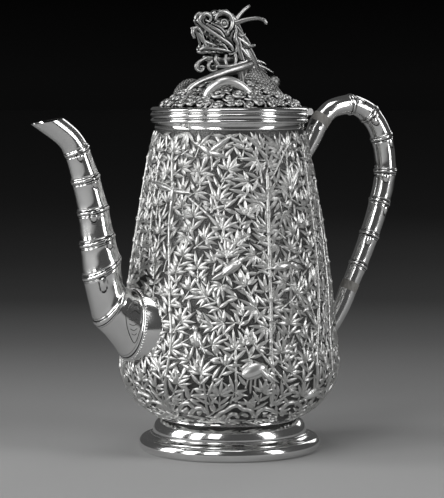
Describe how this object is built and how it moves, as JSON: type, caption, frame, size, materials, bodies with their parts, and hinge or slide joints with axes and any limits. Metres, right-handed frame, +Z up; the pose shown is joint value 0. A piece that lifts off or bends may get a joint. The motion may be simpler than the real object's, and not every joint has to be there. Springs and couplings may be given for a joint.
{
  "type": "coffee pot",
  "caption": "Tapering silver coffee pot with chased bamboo, a bamboo-form spout and loop handle, a round foot and a hinged lid with a dragon finial; for brewing, keeping and pouring coffee.",
  "frame": {"origin": "on the pot's axis, in the plane of the foot's underside", "axes": "+Z up along the pot's axis, -X toward the spout, +X toward the handle"},
  "size_m": [0.2133, 0.1166, 0.2308],
  "materials": {
    "polished_silver": "polished silver",
    "chased_silver": "chased silver with a darkened ground",
    "plain_silver": "plain satin silver",
    "bone": "aged bone"
  },
  "bodies": {
    "pot": {"bamboo_relief": "chased_silver", "base_plate": "plain_silver", "body_shell": "chased_silver", "foot_dome": "polished_silver", "foot_rim": "polished_silver", "handle_grip": "polished_silver", "handle_lower_socket": "polished_silver", "handle_rings": "polished_silver", "handle_upper_socket": "polished_silver", "hinge_body_knuckles": "polished_silver", "hinge_pin": "plain_silver", "insulator_pins": "polished_silver", "lower_insulator": "bone", "rim_band": "polished_silver", "spout_collar": "polished_silver", "spout_lip": "polished_silver", "spout_rings": "polished_silver", "spout_root": "polished_silver", "spout_stem": "polished_silver", "upper_insulator": "bone"},
    "lid": {"cloud_base": "chased_silver", "dragon_beard": "polished_silver", "dragon_coil": "polished_silver", "dragon_eyes": "polished_silver", "dragon_forelegs": "polished_silver", "dragon_head": "polished_silver", "dragon_horns": "polished_silver", "dragon_jaw": "polished_silver", "dragon_mane": "polished_silver", "dragon_neck": "polished_silver", "dragon_tail": "polished_silver", "dragon_tongue": "polished_silver", "finial_nut": "plain_silver", "finial_stud": "plain_silver", "finial_washer": "plain_silver", "hinge_lid_knuckle": "polished_silver", "lid_bezel": "plain_silver", "lid_dome": "chased_silver", "lid_edge": "polished_silver"}
  },
  "joints": [
    {"name": "lid_hinge", "type": "hinge", "parent": "pot", "child": "lid", "pos_m": [0.0432, 0, 0.176], "axis": [0, 1, 0], "range_deg": [0, 100]}
  ]
}
